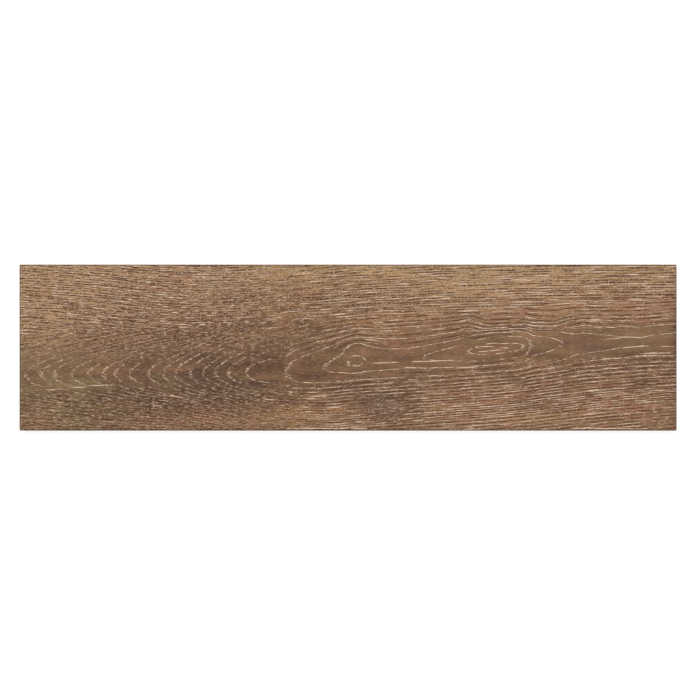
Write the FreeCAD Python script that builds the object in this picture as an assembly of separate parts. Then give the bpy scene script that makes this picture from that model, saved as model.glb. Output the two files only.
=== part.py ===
import FreeCAD, Part
import os

# A wood look porcelain plank tile: one dry-pressed, glazed and fired piece.
# The frame has its origin at the middle of the back's bearing plane, +X along the plank,
# +Y across it and +Z up through the face. All sizes are in millimetres.

# Plank outline and thickness, over everything
LENGTH = 597.0
WIDTH = 151.0
THICKNESS = 9.0
CORNER_RADIUS = 0.8

# Edge of the glazed face, rounded by the punch
FACE_EDGE_RADIUS = 1.1

# Flank: a straight land under the face edge, then a draft that narrows the back
DRAFT_HEIGHT = 3.4
DRAFT_INSET = 1.1

# Keyed back: shallow drafted pockets between ribs, which bed in the adhesive
RIM_WIDTH = 5.0
RIB_WIDTH = 3.0
POCKET_PITCH = 24.0
POCKET_DEPTH = 0.7
POCKET_WALL_RUN = 0.5
POCKET_CORNER_CUT = 3.0

# Largest share of a side that one corner may take
CORNER_SHARE = 0.45

# Corners of a rectangle as signs in X and Y, anticlockwise from the lower right
CORNER_SIGNS = [(1, -1), (1, 1), (-1, 1), (-1, -1)]

# How near a point must lie to a level to count as on it
LEVEL_TOLERANCE = 1e-6


def corner_legs(sign_x, sign_y, leg):
    """Steps from a corner's inner point to its first and second ends, walked anticlockwise."""
    along_x = FreeCAD.Vector(sign_x * leg, 0, 0)
    along_y = FreeCAD.Vector(0, sign_y * leg, 0)
    if sign_x == sign_y:
        return along_x, along_y
    return along_y, along_x


def rectangle(length, width, leg, height, rounded):
    """Closed wire round the Z axis at this height, its corners rounded or cut straight."""
    leg = min(leg, CORNER_SHARE * min(length, width))
    edges = []
    ends = []
    for sign_x, sign_y in CORNER_SIGNS:
        inner = FreeCAD.Vector(sign_x * (length / 2 - leg), sign_y * (width / 2 - leg), height)
        first, second = corner_legs(sign_x, sign_y, leg)
        start = inner + first
        end = inner + second
        if rounded:
            middle = inner + (first + second) * (0.5 ** 0.5)
            corner = Part.Arc(start, middle, end).toShape()
        else:
            corner = Part.makeLine(start, end)
        if ends:
            edges.append(Part.makeLine(ends[-1], start))
        edges.append(corner)
        ends += [start, end]
    edges.append(Part.makeLine(ends[-1], ends[0]))
    return Part.Wire(edges)


def pressed_body():
    """The plank without its keyed back: drafted foot, straight land and rounded face edge."""
    back = rectangle(LENGTH - 2 * DRAFT_INSET, WIDTH - 2 * DRAFT_INSET, CORNER_RADIUS, 0.0, True)
    shoulder = rectangle(LENGTH, WIDTH, CORNER_RADIUS, DRAFT_HEIGHT, True)
    foot = Part.makeLoft([back, shoulder], True, True)
    land = Part.Face(shoulder).extrude(FreeCAD.Vector(0, 0, THICKNESS - DRAFT_HEIGHT))
    body = foot.fuse(land)
    face_edges = []
    for edge in body.Edges:
        if all(abs(vertex.Z - THICKNESS) < LEVEL_TOLERANCE for vertex in edge.Vertexes):
            face_edges.append(edge)
    return body.makeFillet(FACE_EDGE_RADIUS, face_edges)


def pocket_row(span):
    """Number, pitch and length of the pockets that fill this span, with ribs between them."""
    count = max(1, round((span + RIB_WIDTH) / POCKET_PITCH))
    pitch = (span + RIB_WIDTH) / count
    return count, pitch, pitch - RIB_WIDTH


def pocket(length, width):
    """One drafted pocket at the origin, its mouth in the bearing plane."""
    # The cut corners keep the same wall slope as the sides
    floor_cut = POCKET_CORNER_CUT - POCKET_WALL_RUN * (2 - 2 ** 0.5)
    mouth = rectangle(length, width, POCKET_CORNER_CUT, 0.0, False)
    floor = rectangle(length - 2 * POCKET_WALL_RUN, width - 2 * POCKET_WALL_RUN, floor_cut,
                      POCKET_DEPTH, False)
    return Part.makeLoft([mouth, floor], True, True)


def keyed_back():
    """All the pockets of the back, inside its plain rim."""
    margin = DRAFT_INSET + RIM_WIDTH
    columns, pitch_x, length = pocket_row(LENGTH - 2 * margin)
    rows, pitch_y, width = pocket_row(WIDTH - 2 * margin)
    pattern = pocket(length, width)
    pockets = []
    for column in range(columns):
        for row in range(rows):
            x = (column - (columns - 1) / 2) * pitch_x
            y = (row - (rows - 1) / 2) * pitch_y
            pockets.append(pattern.translated(FreeCAD.Vector(x, y, 0)))
    return Part.makeCompound(pockets)


def plank_tile():
    """The whole tile as one solid."""
    return pressed_body().cut(keyed_back())


os.makedirs("parts", exist_ok=True)
tile = plank_tile()
tile.exportStep("parts/plank_tile.step")
print("solids", len(tile.Solids), "faces", len(tile.Faces), "valid", tile.isValid(),
      "volume in cm3", round(tile.Volume / 1000, 2))
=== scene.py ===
# Wood look porcelain plank tile: the pressed, glazed and fired plank on a pale studio table.
# Geometry is in metres. The wood figure of the decor is worked out in millimetres on the face.

import math

import bmesh
import bpy
import numpy as np
from bpy.props import FloatProperty, FloatVectorProperty, IntProperty, PointerProperty
from mathutils import Matrix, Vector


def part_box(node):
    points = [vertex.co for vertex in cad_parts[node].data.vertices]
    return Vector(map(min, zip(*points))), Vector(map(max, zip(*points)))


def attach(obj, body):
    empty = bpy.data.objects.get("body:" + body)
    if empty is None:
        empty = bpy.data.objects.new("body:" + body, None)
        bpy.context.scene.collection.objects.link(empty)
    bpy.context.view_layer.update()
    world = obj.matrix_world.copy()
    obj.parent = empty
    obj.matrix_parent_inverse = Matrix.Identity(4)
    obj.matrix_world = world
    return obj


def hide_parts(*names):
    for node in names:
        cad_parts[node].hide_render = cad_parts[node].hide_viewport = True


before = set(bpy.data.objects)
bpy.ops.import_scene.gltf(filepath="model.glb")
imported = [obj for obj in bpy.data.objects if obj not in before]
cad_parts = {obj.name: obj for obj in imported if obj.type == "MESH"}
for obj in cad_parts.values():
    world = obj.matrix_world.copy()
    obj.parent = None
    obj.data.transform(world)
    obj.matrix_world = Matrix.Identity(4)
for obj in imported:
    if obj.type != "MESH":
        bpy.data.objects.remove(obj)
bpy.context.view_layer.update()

bl_info = {
    "name": "Wood Look Plank Tile",
    "version": (1, 0, 0),
    "blender": (4, 5, 0),
    "location": "3D View > Sidebar > Plank Tile",
    "description": "Presses and glazes a wood look porcelain plank and lays it on a studio table",
    "category": "Add Mesh",
}

CAD_NODE = "plank_tile"
TILE_NAME = "plank_tile_glazed"
LOW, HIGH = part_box(CAD_NODE)

MM = 0.001
TINY = 1e-6

# A corner's arc that is smaller than this closes to one point
CLOSED_CORNER = 0.1 * MM

# How far the table's top reaches under the edge of the plank's back, its colour, and how
# brightly it shines where the camera sees it
TABLE_LIP = 1.0 * MM
TABLE_WHITE = (0.86, 0.86, 0.86, 1.0)
TABLE_GLOW = 0.62

# How wide the broad lamp looks from the plank, and how it is turned from straight above
KEY_SPREAD = math.radians(40)
KEY_TURN = (math.radians(-38), math.radians(-16), 0)

# How far the camera stands off the middle of the face, across the plank
CAMERA_SHIFT = -0.43 * MM

# The map that the plank's colours can be baked into, and the left, low, wide and high of each of
# its parts
MAP_NAME = "OFBake"
MAP_FACE = (0.01, 0.31, 0.98, 0.67)
MAP_BACK = (0.01, 0.01, 0.98, 0.23)
MAP_NEAR_FLANK = (0.01, 0.248, 0.98, 0.012)
MAP_FAR_FLANK = (0.01, 0.265, 0.98, 0.012)
MAP_LEFT_FLANK = (0.01, 0.282, 0.25, 0.012)
MAP_RIGHT_FLANK = (0.30, 0.282, 0.25, 0.012)

# Normals that point down more than this belong to the back: a pocket's walls do, and the
# drafted foot doesn't
BACK_NORMAL = -0.45

# Places of the figure's stations along the plank, from the left end, and the heart line's
# height across it at each of them
HEART_STATIONS = (-298.0, -207.0, -125.0, -53.0, -16.0, 6.0, 29.0, 69.0, 97.0, 109.0, 134.0,
                  165.0, 194.0, 227.0, 266.0, 298.0)
HEART_HEIGHTS = (-24.9, -23.9, -23.0, -22.6, -17.6, -12.1, -11.7, -8.9, -5.8, -3.5, -0.8,
                 1.5, 3.8, 4.1, 5.5, 7.3)

# Depth of the log's pith below the board's face, at stations along the plank. The rings close
# into eyes where the pith comes near the face
PITH_STATIONS = (-298.0, -194.0, -88.0, -56.0, -48.0, -21.0, -6.0, -0.3, 3.0, 11.0, 14.3, 28.0,
                 56.0, 69.0, 97.0, 109.0, 120.0, 134.0, 147.0, 156.5, 160.0, 163.5, 168.5,
                 175.5, 194.0, 208.0, 227.0, 247.0, 266.0, 298.0)
PITH_DEPTHS = (49.1, 38.6, 23.7, 21.0, 18.5, 14.4, 12.2, 10.5, 9.3, 9.3, 10.5, 11.0,
               11.4, 10.4, 8.1, 5.2, 2.6, 0.3, 3.2, 4.2, 5.6, 8.4, 11.6,
               12.2, 14.4, 18.4, 19.4, 20.3, 20.6, 19.9)

# Radii of the log's growth rings about its pith, and the width of the rings further out
RING_RADII = (0.0, 5.2, 10.5, 14.4, 21.0, 23.7, 26.2, 28.1, 29.8, 32.0, 34.0, 35.5, 37.1, 39.1,
              40.5, 41.7, 43.0, 44.6, 46.2, 47.3, 48.6)
OUTER_RING_WIDTH = 2.1

# How much wider the rings past the fourth one grow, at stations along the plank
FOURTH_RADIUS = 21.0
SPREAD_STATIONS = (-150.0, -20.0, 100.0, 298.0)
SPREADS = (1.0, 1.6, 1.5, 1.35)

# Slope of the grain near the top edge of the face, at stations along the plank
UPPER_STATIONS = (-298.0, -250.0, -190.0, -140.0, -100.0, 0.0, 100.0, 298.0)
UPPER_SLOPES = (-0.03, -0.08, -0.10, -0.02, 0.05, 0.06, 0.03, 0.0)

# Distance between the rows of pores near the top edge, which don't follow the rings
LEVEL_PITCH = 2.2

# Places along the plank and past its ends for which the smooth lines are worked out
LINE_STEP = 0.5
LINE_PLACES = np.arange(-340.0, 340.5, LINE_STEP)

# Soft clouds of the decor, and painted light and shade along the face's edges: place along and
# across, half length, half width, lighter, redder (olive below 0), more golden (mauve below 0)
CLOUDS = (
    (-252.0, 42.0, 70.0, 34.0, 0.20, 0.3, 0.1),
    (-285.0, 22.0, 34.0, 26.0, 0.25, 0.1, 0.0),
    (-172.0, 62.0, 36.0, 14.0, 0.02, 0.5, 0.0),
    (-190.0, 12.0, 40.0, 10.0, 0.08, 0.1, 0.0),
    (-160.0, 26.0, 60.0, 18.0, -0.08, 0.4, 0.0),
    (-25.0, 26.0, 30.0, 14.0, -0.06, 0.0, 0.0),
    (-70.0, 64.0, 40.0, 14.0, -0.04, 0.0, 0.0),
    (130.0, 8.0, 60.0, 16.0, -0.05, 0.0, 0.0),
    (-60.0, 32.0, 60.0, 20.0, -0.12, 0.1, 0.2),
    (-10.0, 42.0, 60.0, 20.0, -0.12, 0.2, 0.1),
    (40.0, 58.0, 90.0, 26.0, 0.17, 0.1, 0.0),
    (84.0, 60.0, 34.0, 16.0, 0.04, -0.3, 0.1),
    (149.0, 63.0, 60.0, 18.0, 0.18, 0.2, 0.0),
    (190.0, 52.0, 110.0, 30.0, 0.14, 0.2, 0.0),
    (45.0, 26.0, 40.0, 18.0, 0.10, 0.5, 0.3),
    (170.0, 36.0, 36.0, 12.0, 0.04, 0.6, 0.0),
    (268.0, 37.0, 34.0, 12.0, 0.02, 0.9, -0.2),
    (-230.0, -33.0, 40.0, 8.0, -0.02, -0.4, 0.0),
    (-252.0, -52.0, 50.0, 22.0, -0.22, -0.6, 0.1),
    (-240.0, -18.0, 50.0, 12.0, 0.02, 0.1, 0.0),
    (-134.0, -33.0, 38.0, 14.0, -0.22, -0.2, -0.2),
    (-195.0, -50.0, 40.0, 14.0, -0.24, -0.2, 0.1),
    (-120.0, -44.0, 70.0, 16.0, -0.20, -0.1, 0.1),
    (-60.0, -16.0, 40.0, 14.0, -0.1, 0.2, 0.0),
    (-130.0, -10.0, 70.0, 12.0, -0.10, 0.0, 0.0),
    (30.0, -64.0, 36.0, 12.0, -0.08, 0.0, 0.0),
    (-45.0, -60.0, 50.0, 12.0, 0.0, 0.2, 0.4),
    (-10.0, -60.0, 26.0, 10.0, 0.02, 0.7, 0.1),
    (30.0, -48.0, 26.0, 12.0, -0.14, 0.0, -0.3),
    (38.0, -2.0, 26.0, 9.0, -0.04, 0.4, -0.1),
    (150.0, 0.0, 120.0, 22.0, 0.06, 0.1, 0.0),
    (118.0, -50.0, 50.0, 18.0, 0.16, 1.0, 0.0),
    (150.0, -66.0, 70.0, 10.0, 0.22, 0.4, 0.1),
    (180.0, -20.0, 60.0, 12.0, 0.05, 0.2, 0.0),
    (-150.0, -66.0, 60.0, 8.0, 0.04, 0.6, 0.1),
    (250.0, -50.0, 50.0, 18.0, 0.12, 1.0, 0.0),
    (208.0, 3.0, 34.0, 10.0, -0.12, 0.3, -0.3),
    (256.0, 6.0, 28.0, 8.0, 0.02, -0.4, -0.3),
    (180.0, 2.0, 12.0, 10.0, 0.04, -0.3, 0.0),
    # Painted light and shade along the face's edges: lighter and olive along the top edge, which
    # faces the lamp, and darker along the bottom edge and both ends
    (0.0, 77.0, 320.0, 5.0, 0.04, -1.0, 0.0),
    (0.0, -77.0, 320.0, 4.0, -0.12, 0.0, 0.0),
    (-300.0, 0.0, 6.0, 80.0, -0.05, -0.9, 0.0),
    (300.0, 10.0, 6.0, 60.0, -0.25, 0.0, -0.6),
    (120.0, 66.0, 110.0, 13.0, 0.17, -0.7, -0.1),
    (-272.0, 14.0, 30.0, 42.0, 0.03, -0.4, 0.0),
    (-150.0, 38.0, 34.0, 14.0, -0.11, 0.1, 0.4),
    (-30.0, 36.0, 30.0, 14.0, -0.1, 0.1, 0.3),
    (-30.0, -64.0, 30.0, 10.0, -0.08, 0.1, 0.3),
    (-95.0, -14.0, 26.0, 12.0, 0.07, 0.0, 0.0),
    (-30.0, -36.0, 30.0, 12.0, -0.04, 0.0, 0.0),
    (-275.0, 26.0, 26.0, 30.0, 0.06, -0.2, 0.0),
    (-150.0, 20.0, 34.0, 14.0, -0.06, 0.1, 0.0),
    (-120.0, -22.0, 80.0, 24.0, -0.05, 0.0, 0.0),
    (150.0, -63.0, 80.0, 11.0, 0.1, -0.3, 0.0),
    (-272.0, -64.0, 30.0, 10.0, 0.08, 0.0, 0.0),
    (-90.0, -63.0, 28.0, 10.0, 0.08, 0.0, 0.0),
    (30.0, -68.0, 30.0, 8.0, 0.1, 0.0, 0.0),
    (32.0, -57.0, 22.0, 12.0, -0.10, 0.0, -0.3),
    (240.0, 12.0, 50.0, 12.0, -0.04, 0.0, 0.0),
)

# Tone of the ground from the bottom edge of the face to the top edge
TONE_STATIONS = (-75.0, -45.0, -20.0, 5.0, 30.0, 55.0, 75.0)
TONE_VALUES = (0.35, 0.28, 0.23, 0.27, 0.41, 0.65, 0.77)

# Long single pores of the decor, each as points from its left end to its right end
LIMED_PORES = (
    ((0.5, -10.6), (3.6, -7.8), (9.0, -7.1), (14.0, -9.8)),
    ((0.5, -12.2), (4.5, -15.8), (9.5, -17.0), (15.0, -13.8)),
    ((20.0, -14.1), (30.0, -14.0), (49.0, -13.0)),
    ((55.0, -12.9), (74.0, -12.4), (97.0, -11.5)),
    ((113.0, -1.4), (122.0, 0.9), (135.0, 1.2)),
    ((116.0, -3.9), (128.0, -3.2), (141.0, -1.6)),
    ((124.0, 3.6), (138.0, 4.1)),
    ((231.0, 7.3), (244.0, 8.3), (252.0, 9.7), (266.0, 9.1), (280.0, 11.8)),
    ((246.0, -0.6), (262.0, 1.0), (275.0, 1.3)),
    ((229.0, -10.3), (252.0, -9.4)),
    ((258.0, -7.7), (284.0, -6.9)),
    ((269.0, -5.0), (297.0, -4.9)),
    ((-277.0, -38.5), (-257.0, -37.4)),
    ((-254.0, -36.3), (-234.0, -35.8)),
    ((-238.0, -34.6), (-211.0, -33.9)),
    ((-60.0, -73.2), (20.0, -73.6)),
    ((200.0, -73.4), (262.0, -73.6)),
    ((134.5, 3.7), (149.0, 3.6)),
    ((136.0, 0.4), (148.5, -0.8)),
    ((138.0, -3.0), (145.0, -2.2)),
)
OPEN_PORES = (
    ((-295.5, 51.5), (-270.0, 50.6)),
    ((-214.6, 63.3), (-197.3, 60.6)),
    ((-188.2, 59.2), (-165.5, 56.1)),
    ((-229.1, 49.7), (-205.5, 47.0)),
    ((-242.0, 30.6), (-226.0, 29.4)),
    ((-262.0, 36.0), (-238.0, 34.2)),
)

# Patches with short pores only: place along and across, half length, half width
SPECKLED_PATCHES = (
    (31.0, 71.0, 24.0, 6.0),
    (112.0, 60.0, 14.0, 12.0),
    (30.0, -57.0, 19.0, 10.0),
    (284.0, -62.0, 13.0, 10.0),
)

# Eyes of the figure, whose rings are drawn whole, and tips of rings drawn with a broad band of
# pores: place along and across, half length, half width
CLEAR_PATCHES = (
    (8.0, -13.0, 11.0, 8.0),
    (134.0, 0.0, 36.0, 12.0),
    (215.0, -10.0, 80.0, 10.0),
    (-86.0, -24.0, 16.0, 16.0),
    (-52.0, -24.0, 12.0, 15.0),
    (-8.0, -35.0, 60.0, 4.0),
)
BROAD_TIPS = (
    (-54.0, -22.0, 13.0, 12.0),
    (-20.0, -17.0, 9.0, 12.0),
)

# The plate is a fine grid over the face on which the long pores are drawn before the mesh
# reads them: its steps along and across the plank, and how far it stands past the face
PLATE_STEP_X = 1.0
PLATE_STEP_Y = 0.2
PLATE_MARGIN = 6.0


def display_colour(red, green, blue):
    """Linear colour of a display colour given from 0 to 255."""
    linear = []
    for value in (red, green, blue):
        share = value / 255
        linear.append(share / 12.92 if share <= 0.04045 else ((share + 0.055) / 1.055) ** 2.4)
    return tuple(linear)


def length_value(name, description, default):
    """A length for a property group, in metres."""
    return FloatProperty(name=name, description=description, default=default, unit="LENGTH",
                         subtype="DISTANCE")


def colour_value(name, description, *display):
    """A colour for a property group, from a display colour."""
    return FloatVectorProperty(name=name, description=description,
                               default=display_colour(*display), size=3, subtype="COLOR",
                               min=0, max=1)


class PlankSizes(bpy.types.PropertyGroup):
    """Sizes of the plank, which match the construction model"""

    length: length_value("Length", "Length over the land", HIGH.x - LOW.x)
    width: length_value("Width", "Width over the land", HIGH.y - LOW.y)
    thickness: length_value(
        "Thickness", "Height of the face above the bearing plane", HIGH.z - LOW.z)
    corner_radius: length_value(
        "Corner Radius", "Rounding of the outline's four corners", 0.8 * MM)
    edge_radius: length_value("Edge Radius", "Rounding of the glazed face's edge", 1.1 * MM)
    draft_height: length_value(
        "Draft Height", "Height of the drafted foot under the land", 3.4 * MM)
    draft_inset: length_value(
        "Draft Inset", "How far the back stands in from the land", 1.1 * MM)
    rim_width: length_value("Rim Width", "Plain rim round the back's pockets", 5.0 * MM)
    rib_width: length_value("Rib Width", "Rib between two pockets of the back", 3.0 * MM)
    pocket_pitch: length_value("Pocket Pitch", "About how far apart the pockets are", 24.0 * MM)
    pocket_depth: length_value("Pocket Depth", "Depth of the keying pockets", 0.7 * MM)
    pocket_wall_run: length_value(
        "Pocket Wall Run", "How far a pocket's wall slopes in", 0.5 * MM)
    pocket_corner_cut: length_value(
        "Pocket Corner Cut", "Legs of the cut across a pocket's corner", 3.0 * MM)
    relief_depth: length_value(
        "Relief Depth", "Deepest groove pressed into the face", 0.22 * MM)
    cells_along: IntProperty(
        name="Cells Along", description="Cells of the face's mesh along the plank", default=230)
    cells_across: IntProperty(
        name="Cells Across", description="Cells of the face's mesh across the plank", default=370)


class PlankColours(bpy.types.PropertyGroup):
    """Colours of the decor, the glaze and the fired body"""

    dark_wood: colour_value("Dark Wood", "Late wood in the darkest part", 76, 45, 23)
    light_wood: colour_value("Light Wood", "Ground of the lightest part", 177, 138, 97)
    red_wood: colour_value("Red Wood", "Reddish clouds of the figure", 160, 107, 80)
    olive_wood: colour_value("Olive Wood", "Olive clouds of the figure", 130, 116, 74)
    golden_wood: colour_value("Golden Wood", "Golden clouds of the figure", 168, 124, 68)
    mauve_wood: colour_value("Mauve Wood", "Mauve clouds of the figure", 112, 92, 86)
    limed_pore: colour_value("Limed Pore", "Pores filled with pale lime", 232, 201, 172)
    # The dark pores' colour also paints the shade on the rounded edge and the shadows under limed
    # pores
    open_pore_and_shade: colour_value("Open Pore", "Dark open pores", 73, 37, 4)
    body: colour_value(
        "Fired Body", "Unglazed porcelain of the flanks and the back", 186, 170, 150)
    wash: colour_value("Kiln Wash", "Pale wash on the ribs of the back", 226, 222, 214)


class StudioSettings(bpy.types.PropertyGroup):
    """Table, lamps and camera"""

    table_size: length_value("Table Size", "Side of the square table", 12.0)
    view_width: length_value(
        "View Width", "Width that the picture takes in at the face", 0.6319)
    lens: FloatProperty(
        name="Lens", description="Focal length of the camera in millimetres", default=110.0)
    key_strength: FloatProperty(
        name="Key", description="Strength of the broad lamp over the far side", default=2.0)
    fill_strength: FloatProperty(
        name="Fill", description="Strength of the even light all round", default=0.5)


# Mesh of the plank

def move_inwards(verts, distance):
    """Moves each vertex towards the plank's middle by this distance along X and along Y."""
    for vert in verts:
        vert.co.x -= math.copysign(distance, vert.co.x)
        vert.co.y -= math.copysign(distance, vert.co.y)


def press_blank(bm, sizes):
    """The plank's block with rounded corners, a straight land and a drafted foot."""
    cube = bmesh.ops.create_cube(bm, size=1.0)
    bmesh.ops.scale(bm, vec=(sizes.length, sizes.width, sizes.thickness), verts=cube["verts"])
    bmesh.ops.translate(bm, vec=(0, 0, sizes.thickness / 2), verts=cube["verts"])
    uprights = []
    for edge in bm.edges:
        first, second = edge.verts
        if abs(first.co.z - second.co.z) > TINY:
            uprights.append(edge)
    bmesh.ops.bevel(bm, geom=uprights, offset=sizes.corner_radius, segments=4, profile=0.5,
                    affect="EDGES", material=-1)
    bmesh.ops.bisect_plane(bm, geom=bm.verts[:] + bm.edges[:] + bm.faces[:],
                           plane_co=(0, 0, sizes.draft_height), plane_no=(0, 0, 1))
    move_inwards([vert for vert in bm.verts if vert.co.z < TINY], sizes.draft_inset)


def level_of(face):
    """Height of a face's middle."""
    return face.calc_center_median().z


def round_face_edge(bm, sizes, steps=6):
    """Rounds the edge of the top face by insets that climb a quarter circle."""
    top = max(bm.faces, key=level_of)
    for vert in top.verts:
        vert.co.z -= sizes.edge_radius
    inset = 0.0
    rise = 0.0
    for step in range(1, steps + 1):
        angle = step * math.pi / 2 / steps
        next_inset = sizes.edge_radius * (1 - math.cos(angle))
        next_rise = sizes.edge_radius * math.sin(angle)
        top = max(bm.faces, key=level_of)
        bmesh.ops.inset_region(bm, faces=[top], thickness=next_inset - inset,
                               depth=next_rise - rise, use_even_offset=True)
        inset = next_inset
        rise = next_rise
        # The corner's arc shrinks to one point before the rounding ends
        if sizes.corner_radius - inset < CLOSED_CORNER:
            top = max(bm.faces, key=level_of)
            bmesh.ops.remove_doubles(bm, verts=top.verts[:], dist=CLOSED_CORNER)


def glaze_foot(sizes):
    """Height just under the rounded edge, above which the plank is glazed."""
    return sizes.thickness - sizes.edge_radius - TINY


def divide_face(bm, sizes):
    """Divides the face and its rounded edge into a fine grid, finer across the grain."""
    for axis, cells in ((0, sizes.cells_along), (1, sizes.cells_across)):
        runs = []
        for edge in bm.edges:
            first, second = (vert.co for vert in edge.verts)
            runs_this_way = abs(first[axis] - second[axis]) > sizes.width / 2
            if runs_this_way and min(first.z, second.z) > glaze_foot(sizes):
                runs.append(edge)
        bmesh.ops.subdivide_edges(bm, edges=runs, cuts=cells - 1, use_grid_fill=True)


def pocket_row(span, sizes):
    """Number, pitch and length of the pockets that fill this span, with ribs between them."""
    count = max(1, round((span + sizes.rib_width) / sizes.pocket_pitch))
    pitch = (span + sizes.rib_width) / count
    return count, pitch, pitch - sizes.rib_width


def bearing_faces(bm):
    """Faces that lie in the bearing plane."""
    return [face for face in bm.faces if abs(level_of(face)) < TINY]


def key_back(bm, sizes):
    """Sinks the keying pockets into the back and closes the ribs between them."""
    margin = sizes.draft_inset + sizes.rim_width
    columns, pitch_x, length = pocket_row(sizes.length - 2 * margin, sizes)
    rows, pitch_y, width = pocket_row(sizes.width - 2 * margin, sizes)
    back = min(bm.faces, key=level_of)
    bmesh.ops.delete(bm, geom=[back], context="FACES_ONLY")
    grid = bmesh.ops.create_grid(bm, x_segments=columns, y_segments=rows, size=0.5)
    bmesh.ops.scale(bm, vec=(columns * pitch_x, rows * pitch_y, 1), verts=grid["verts"])
    cells = list({face for vert in grid["verts"] for face in vert.link_faces})
    bmesh.ops.split_edges(bm, edges=list({edge for face in cells for edge in face.edges}))
    mouths = bearing_faces(bm)
    for face in mouths:
        bmesh.ops.scale(bm, vec=(length / pitch_x, width / pitch_y, 1), verts=face.verts,
                        space=Matrix.Translation(-face.calc_center_median()))
    corners = [vert for face in mouths for vert in face.verts]
    bmesh.ops.bevel(bm, geom=corners, offset=sizes.pocket_corner_cut, segments=1, profile=0.5,
                    affect="VERTICES", material=-1)
    mouths = bearing_faces(bm)
    for face in mouths:
        if face.normal.z < 0:
            face.normal_flip()
    bmesh.ops.inset_individual(bm, faces=mouths, thickness=sizes.pocket_wall_run,
                               depth=sizes.pocket_depth, use_even_offset=True)
    rims = [edge for edge in bm.edges
            if edge.is_boundary and all(abs(vert.co.z) < TINY for vert in edge.verts)]
    bmesh.ops.triangle_fill(bm, use_beauty=True, use_dissolve=False, edges=rims,
                            normal=(0, 0, -1))


def plank_mesh(sizes):
    """The whole plank as one closed mesh."""
    bm = bmesh.new()
    press_blank(bm, sizes)
    round_face_edge(bm, sizes)
    key_back(bm, sizes)
    divide_face(bm, sizes)
    bmesh.ops.recalc_face_normals(bm, faces=bm.faces)
    if any(not edge.is_manifold for edge in bm.edges):
        raise RuntimeError("the plank's mesh isn't closed")
    foot = glaze_foot(sizes)
    for face in bm.faces:
        glazed = all(vert.co.z > foot for vert in face.verts)
        face.material_index = 0 if glazed else 1
        face.smooth = glazed
    mesh = bpy.data.meshes.new(TILE_NAME)
    bm.to_mesh(mesh)
    bm.free()
    return mesh


def unfold(mesh, sizes):
    """Lays the plank out flat: the face with its edge rolled out, the back and the flanks."""
    radius = sizes.edge_radius
    places = read_places(mesh)
    inner = np.array((sizes.length / 2 - radius, sizes.width / 2 - radius))
    middle = np.clip(places[:, :2], -inner, inner)
    outward = places[:, :2] - middle
    outward /= np.maximum(np.hypot(outward[:, 0], outward[:, 1]), TINY)[:, None]
    drop = np.clip((sizes.thickness - places[:, 2]) / radius, 0.0, 1.0)
    rolled = middle + outward * radius * np.arccos(1 - drop)[:, None]
    face_share = (rolled / (inner + radius * math.pi / 2) + 1) / 2
    share = places / (sizes.length, sizes.width, sizes.thickness) + (0.5, 0.5, 0.0)

    corners = np.empty(len(mesh.loops), dtype=int)
    mesh.loops.foreach_get("vertex_index", corners)
    counts = np.empty(len(mesh.polygons), dtype=int)
    mesh.polygons.foreach_get("loop_total", counts)
    slots = np.empty(len(mesh.polygons), dtype=int)
    mesh.polygons.foreach_get("material_index", slots)
    normals = np.empty(len(mesh.polygons) * 3)
    mesh.polygons.foreach_get("normal", normals)
    owner = np.repeat(np.arange(len(counts)), counts)
    normal_x, normal_y, normal_z = normals.reshape(-1, 3)[owner].T
    across, along, up = share[corners].T
    glazed = slots[owner] == 0
    back = normal_z < BACK_NORMAL
    long_side = np.abs(normal_y) > np.abs(normal_x)
    sides = (
        (glazed, MAP_FACE, *face_share[corners].T),
        (~glazed & back, MAP_BACK, across, along),
        (~glazed & ~back & long_side & (normal_y < 0), MAP_NEAR_FLANK, across, up),
        (~glazed & ~back & long_side & (normal_y > 0), MAP_FAR_FLANK, across, up),
        (~glazed & ~back & ~long_side & (normal_x < 0), MAP_LEFT_FLANK, along, up),
        (~glazed & ~back & ~long_side & (normal_x > 0), MAP_RIGHT_FLANK, along, up),
    )
    spots = np.zeros((len(corners), 2))
    for chosen, (left, low, wide, high), first, second in sides:
        spots[chosen, 0] = left + wide * first[chosen]
        spots[chosen, 1] = low + high * second[chosen]
    layer = mesh.uv_layers.new(name=MAP_NAME)
    layer.data.foreach_set("uv", spots.ravel())


# Figure of the decor, in millimetres

def flowing(stations, values, along, softness=9.0):
    """Values at the stations joined by a smooth line, read at each place along the plank."""
    line = np.interp(LINE_PLACES, stations, values)
    window = np.hanning(int(2 * softness / LINE_STEP) + 1)
    padded = np.pad(line, len(window) // 2, mode="edge")
    smooth_line = np.convolve(padded, window / window.sum(), mode="valid")
    return np.interp(along, LINE_PLACES, smooth_line)


def smooth_step(low, high, value):
    """Rises smoothly from 0 at low to 1 at high."""
    share = np.clip((value - low) / (high - low), 0.0, 1.0)
    return share * share * (3 - 2 * share)


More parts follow.
